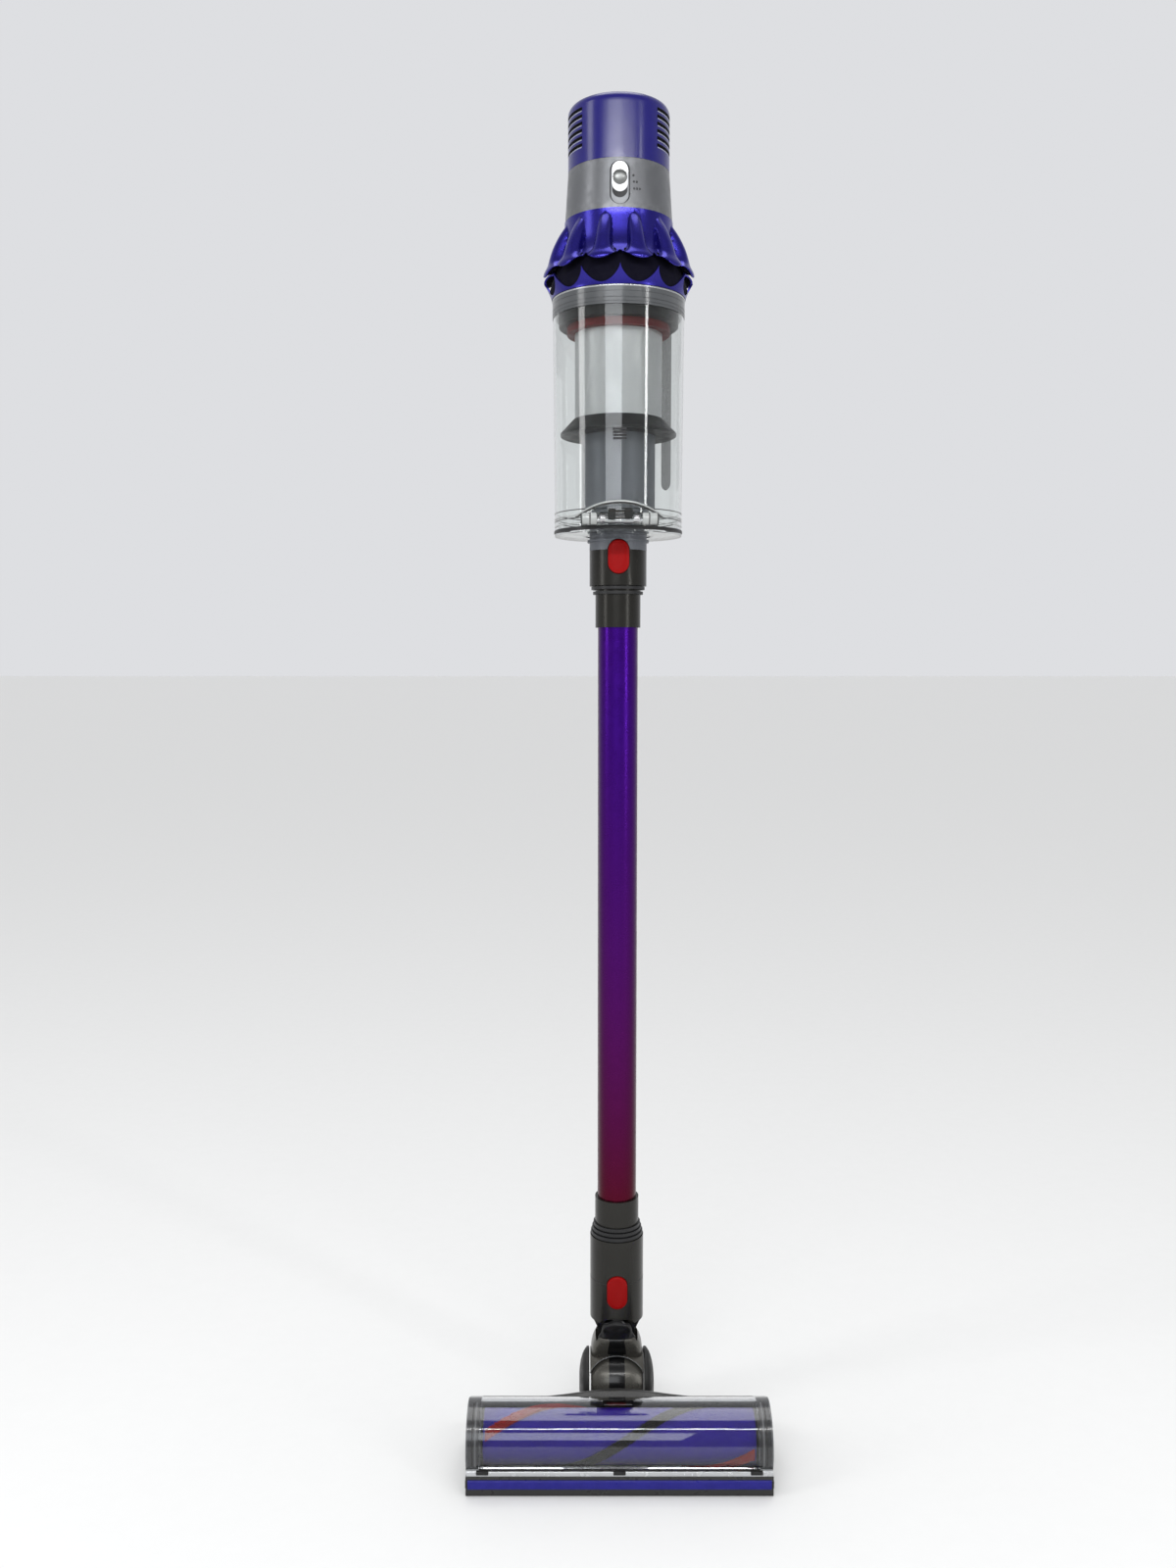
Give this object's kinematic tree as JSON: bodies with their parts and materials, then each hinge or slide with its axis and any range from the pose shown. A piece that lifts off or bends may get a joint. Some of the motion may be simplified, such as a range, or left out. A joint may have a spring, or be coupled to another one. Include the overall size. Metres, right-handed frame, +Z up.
{
  "type": "cordless stick vacuum",
  "caption": "Cordless stick vacuum with a scalloped cyclone, clear bin, slim metal wand, swivelling neck and a clear-fronted brush head, standing upright.",
  "frame": {"origin": "on the floor, under the middle of the object's width and depth", "axes": "+Z up along the wand, -Y towards the toe of the floor head, +X to the right of someone facing the toe"},
  "size_m": [0.25, 0.306, 1.125],
  "materials": {
    "housing_grey": "metallic satin",
    "bezel_grey": "satin",
    "slider_white": "gloss",
    "knob_silver": "satin",
    "grip_grey": "soft satin",
    "key_red": "gloss",
    "steel": "satin",
    "switch_black": "matt",
    "board_green": "satin",
    "cell_green": "satin",
    "contact_gold": "polished",
    "light_blue": "gloss",
    "cap_blue": "gloss",
    "filter_white": "pleated",
    "seal_rubber": "matt",
    "motor_alloy": "satin",
    "cyclone_blue": "metallic gloss",
    "inner_grey": "satin",
    "mesh_steel": "fine mesh",
    "ring_red": "satin",
    "bin_clear": "clear",
    "wire_orange": "satin",
    "tube_violet": "anodised violet to red",
    "yoke_grey": "satin",
    "wheel_grey": "matt",
    "window_clear": "clear",
    "wall_grey": "satin",
    "trim_bright": "satin",
    "bumper_blue": "satin",
    "core_violet": "metallic gloss",
    "bristle_red": "bristle"
  },
  "bodies": {
    "hand_unit": {"motor_housing": "housing_grey", "mode_bezel": "bezel_grey", "handle_grip": "grip_grey", "body_spine": "grip_grey", "trigger_pin": "steel", "trigger_switch": "switch_black", "control_board": "board_green", "battery_case": "grip_grey", "battery_cells": "cell_green", "battery_screws": "steel", "charge_contacts": "contact_gold", "charge_lights": "light_blue", "motor_can": "motor_alloy", "motor_bearings": "steel", "motor_mount": "seal_rubber", "cyclone_shell": "cyclone_blue", "cyclone_lower_ring": "cyclone_blue", "cyclone_cones": "inner_grey", "bright_ring": "trim_bright", "shroud": "inner_grey", "shroud_mesh": "mesh_steel", "shroud_red_ring": "ring_red", "inlet_socket": "inner_grey"},
    "slider": {"mode_slider": "slider_white", "mode_knob": "knob_silver"},
    "trigger": {"trigger": "key_red"},
    "filter_unit": {"filter_cap": "cap_blue", "filter_media": "filter_white", "filter_seal": "seal_rubber"},
    "rotor": {"motor_rotor": "steel", "impeller": "motor_alloy"},
    "bin": {"bin_tube": "bin_clear", "bin_collar": "inner_grey", "bin_runner": "grip_grey", "bin_hinge_block": "bin_clear", "flap_hinge_pin": "steel"},
    "flap": {"flap": "bin_clear", "flap_seal": "seal_rubber"},
    "lever": {"release_lever": "key_red"},
    "wand": {"wand_tube": "tube_violet", "wand_collars": "inner_grey", "wand_rings": "seal_rubber", "wand_wires": "wire_orange"},
    "wand_key": {"wand_button": "key_red"},
    "neck": {"neck_cuff": "inner_grey"},
    "neck_key": {"neck_button": "key_red"},
    "yoke": {"neck_yoke": "yoke_grey", "roll_pins": "steel"},
    "left_wheel": {"wheel_left": "wheel_grey"},
    "right_wheel": {"wheel_right": "wheel_grey"},
    "head": {"head_chassis": "yoke_grey", "head_cover": "window_clear", "head_end_walls": "wall_grey", "head_trim": "trim_bright", "bumper_strip": "bumper_blue", "pivot_dome": "yoke_grey"},
    "end_cap": {"brush_end_cap": "wall_grey"},
    "brush_bar": {"brush_core": "core_violet", "brush_bristles": "bristle_red"},
    "rollers": {"sole_rollers": "switch_black"}
  },
  "joints": [
    {"name": "mode_slide", "type": "slide", "parent": "hand_unit", "child": "slider", "axis": [0, 0, -1], "range_m": [0, 0.01]},
    {"name": "trigger_pull", "type": "hinge", "parent": "hand_unit", "child": "trigger", "pos_m": [0, 0.045, 1.031], "axis": [1, 0, 0], "range_deg": [0, 10], "stiffness_Nm_per_rad": 0.3, "springref_deg": -11.46},
    {"name": "filter_lift", "type": "slide", "parent": "hand_unit", "child": "filter_unit", "axis": [0, 0, 1], "range_m": [0, 0.07]},
    {"name": "rotor_spin", "type": "hinge", "parent": "hand_unit", "child": "rotor", "pos_m": [0, -0.027, 1.055], "axis": [0, 0, 1], "continuous": true},
    {"name": "bin_slide", "type": "slide", "parent": "hand_unit", "child": "bin", "axis": [0, 0, -1], "range_m": [0, 0.055]},
    {"name": "flap_swing", "type": "hinge", "parent": "bin", "child": "flap", "pos_m": [0, -0.0845, 0.785], "axis": [-1, 0, 0], "range_deg": [0, 95]},
    {"name": "lever_slide", "type": "slide", "parent": "hand_unit", "child": "lever", "axis": [0, 0, -1], "range_m": [0, 0.01], "stiffness_N_per_m": 200, "springref_m": -0.005},
    {"name": "wand_slide", "type": "slide", "parent": "hand_unit", "child": "wand", "axis": [0, 0, -1], "range_m": [0, 0.3]},
    {"name": "wand_key_press", "type": "slide", "parent": "wand", "child": "wand_key", "axis": [0, 1, 0], "range_m": [0, 0.002], "stiffness_N_per_m": 1500, "springref_m": -0.001},
    {"name": "neck_slide", "type": "slide", "parent": "wand", "child": "neck", "axis": [0, 0, -1], "range_m": [0, 0.06]},
    {"name": "neck_key_press", "type": "slide", "parent": "neck", "child": "neck_key", "axis": [0, 1, 0], "range_m": [0, 0.002], "stiffness_N_per_m": 1500, "springref_m": -0.001},
    {"name": "neck_roll", "type": "hinge", "parent": "neck", "child": "yoke", "pos_m": [0, -0.027, 0.086], "axis": [0, 1, 0], "range_deg": [-45, 45]},
    {"name": "head_pitch", "type": "hinge", "parent": "yoke", "child": "head", "pos_m": [0, -0.027, 0.029], "axis": [1, 0, 0], "range_deg": [0, 85]},
    {"name": "left_wheel_spin", "type": "hinge", "parent": "yoke", "child": "left_wheel", "pos_m": [-0.0305, -0.027, 0.029], "axis": [1, 0, 0], "continuous": true},
    {"name": "right_wheel_spin", "type": "hinge", "parent": "yoke", "child": "right_wheel", "pos_m": [0.0305, -0.027, 0.029], "axis": [1, 0, 0], "continuous": true},
    {"name": "end_cap_pull", "type": "slide", "parent": "head", "child": "end_cap", "axis": [1, 0, 0], "range_m": [0, 0.235]},
    {"name": "brush_spin", "type": "hinge", "parent": "end_cap", "child": "brush_bar", "pos_m": [0, -0.12, 0.032], "axis": [1, 0, 0], "continuous": true},
    {"name": "roller_spin", "type": "hinge", "parent": "head", "child": "rollers", "pos_m": [0, -0.075, 0.0042], "axis": [1, 0, 0], "continuous": true}
  ],
  "couplings": [
    {"joint": "flap_swing", "follows": "wand_slide", "rad_per_m": 5.526}
  ]
}
